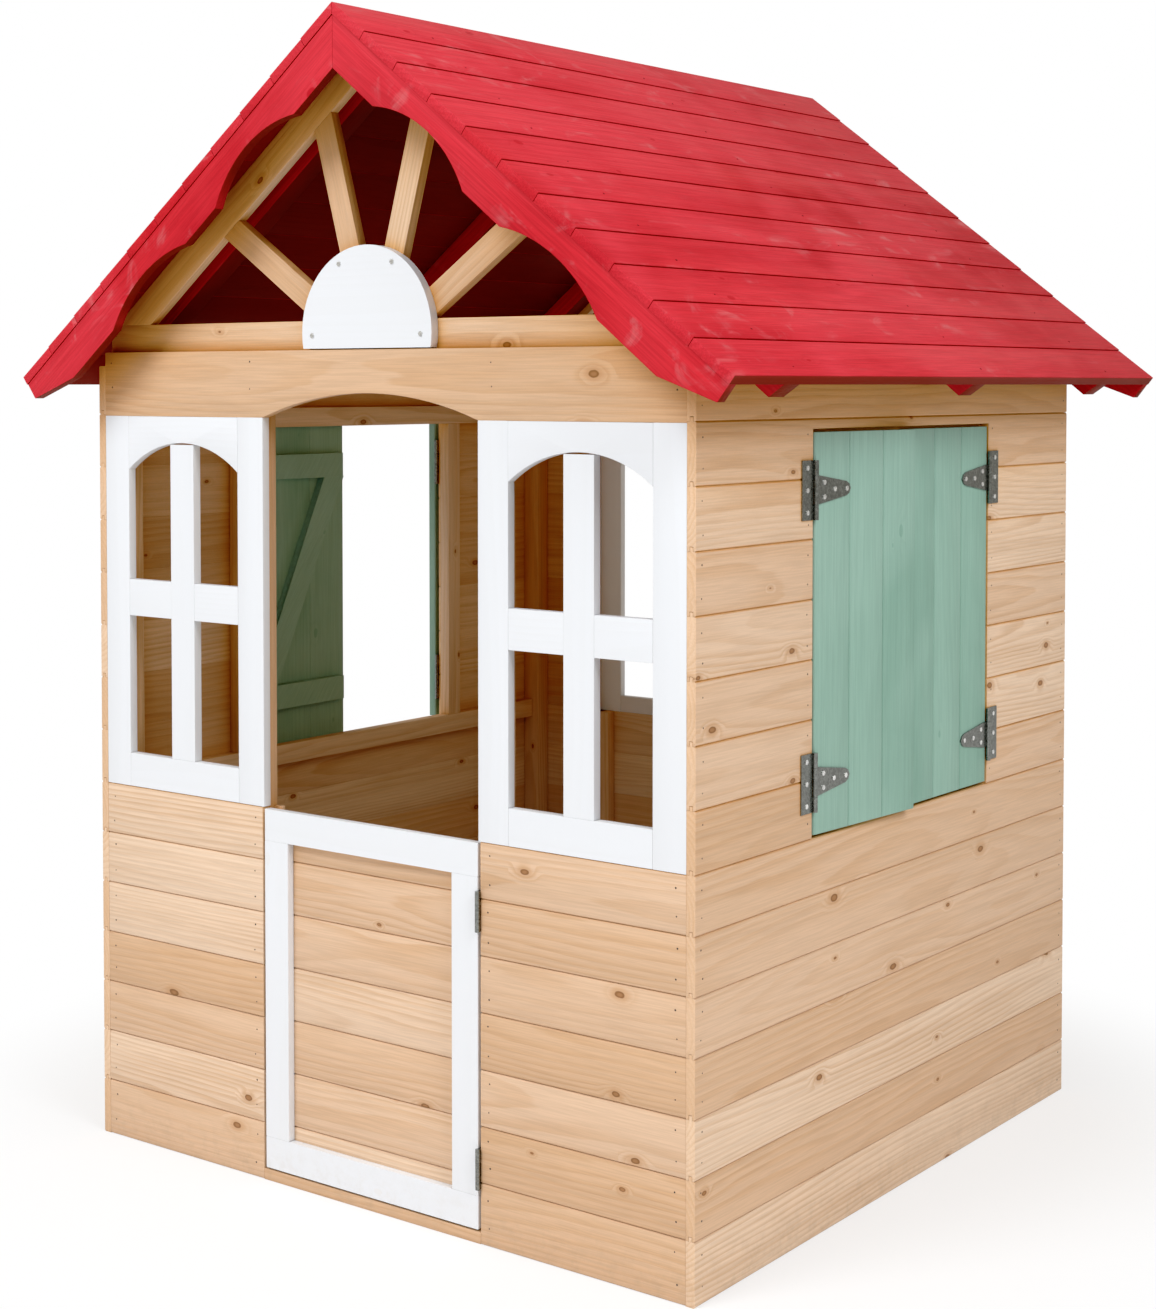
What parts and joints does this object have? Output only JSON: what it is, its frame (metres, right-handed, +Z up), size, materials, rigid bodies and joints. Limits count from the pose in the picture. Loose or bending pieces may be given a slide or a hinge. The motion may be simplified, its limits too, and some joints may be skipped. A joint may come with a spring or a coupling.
{
  "type": "playhouse",
  "caption": "Small timber garden playhouse with a low hinged door, shuttered side openings, arched front windows, sunburst gable and a steep board roof.",
  "frame": {"origin": "on the ground, under the middle of the roof", "axes": "+Z up, +X to the right of someone facing the door, -Y out of the front (the door side)"},
  "size_m": [1.1324, 1.098, 1.4601],
  "materials": {
    "natural_wood": "bare softwood, lightly oiled",
    "white_paint": "white satin paint on softwood",
    "red_stain": "translucent red stain on softwood",
    "green_stain": "grey-green stain on softwood",
    "zinc": "dull zinc plate",
    "screws": "bright zinc screws"
  },
  "bodies": {
    "house": {"front_right_boards": "natural_wood", "front_left_boards": "natural_wood", "rear_wall_boards": "natural_wood", "right_wall_boards": "natural_wood", "left_wall_boards": "natural_wood", "corner_posts": "natural_wood", "door_posts": "natural_wood", "rear_window_posts": "natural_wood", "shutter_posts": "natural_wood", "side_wall_rails": "natural_wood", "threshold": "natural_wood", "door_stop": "natural_wood", "arched_header": "natural_wood", "gable_tie_beams": "natural_wood", "front_gable_rafters": "natural_wood", "rear_gable_rafters": "natural_wood", "front_gable_spokes": "natural_wood", "rear_gable_spokes": "natural_wood", "right_window_stiles": "white_paint", "left_window_stiles": "white_paint", "right_window_arch": "white_paint", "left_window_arch": "white_paint", "right_window_bars": "white_paint", "left_window_bars": "white_paint", "rear_window_stiles": "white_paint", "rear_window_bars": "white_paint", "gable_plaques": "white_paint", "roof_boards_right": "red_stain", "roof_boards_left": "red_stain", "roof_battens_right": "red_stain", "roof_battens_left": "red_stain", "front_barge_right": "red_stain", "front_barge_left": "red_stain", "rear_barge_right": "red_stain", "rear_barge_left": "red_stain", "door_hinge_fixed_leaves": "zinc", "shutter_hinge_wall_plates": "zinc", "gable_plaque_screws": "screws", "shutter_wall_plate_screws": "screws"},
    "door": {"door_boards": "natural_wood", "door_rails": "white_paint", "door_stiles": "white_paint", "door_hinge_moving_leaves": "zinc"},
    "right_front_shutter": {"right_front_shutter_boards": "green_stain", "right_front_shutter_ledges": "green_stain", "right_front_shutter_hinge_flaps": "zinc", "right_front_shutter_flap_screws": "screws"},
    "right_rear_shutter": {"right_rear_shutter_boards": "green_stain", "right_rear_shutter_ledges": "green_stain", "right_rear_shutter_hinge_flaps": "zinc", "right_rear_shutter_flap_screws": "screws"},
    "left_front_shutter": {"left_front_shutter_boards": "green_stain", "left_front_shutter_ledges": "green_stain", "left_front_shutter_hinge_flaps": "zinc", "left_front_shutter_flap_screws": "screws"},
    "left_rear_shutter": {"left_rear_shutter_boards": "green_stain", "left_rear_shutter_ledges": "green_stain", "left_rear_shutter_hinge_flaps": "zinc", "left_rear_shutter_flap_screws": "screws"}
  },
  "joints": [
    {"name": "door_hinge", "type": "hinge", "parent": "house", "child": "door", "pos_m": [0.176, -0.495, 0.246], "axis": [0, 0, 1], "range_deg": [0, 170]},
    {"name": "right_front_shutter_hinge", "type": "hinge", "parent": "house", "child": "right_front_shutter", "pos_m": [0.4832, -0.246, 0.7145], "axis": [0, 0, -1], "range_deg": [-3.7, 172]},
    {"name": "right_rear_shutter_hinge", "type": "hinge", "parent": "house", "child": "right_rear_shutter", "pos_m": [0.4832, 0.202, 0.7145], "axis": [0, 0, 1], "range_deg": [0, 175]},
    {"name": "left_front_shutter_hinge", "type": "hinge", "parent": "house", "child": "left_front_shutter", "pos_m": [-0.4832, -0.246, 0.7145], "axis": [0, 0, 1], "range_deg": [-2, 173]},
    {"name": "left_rear_shutter_hinge", "type": "hinge", "parent": "house", "child": "left_rear_shutter", "pos_m": [-0.4832, 0.202, 0.7145], "axis": [0, 0, -1], "range_deg": [-172, 3.5]}
  ]
}
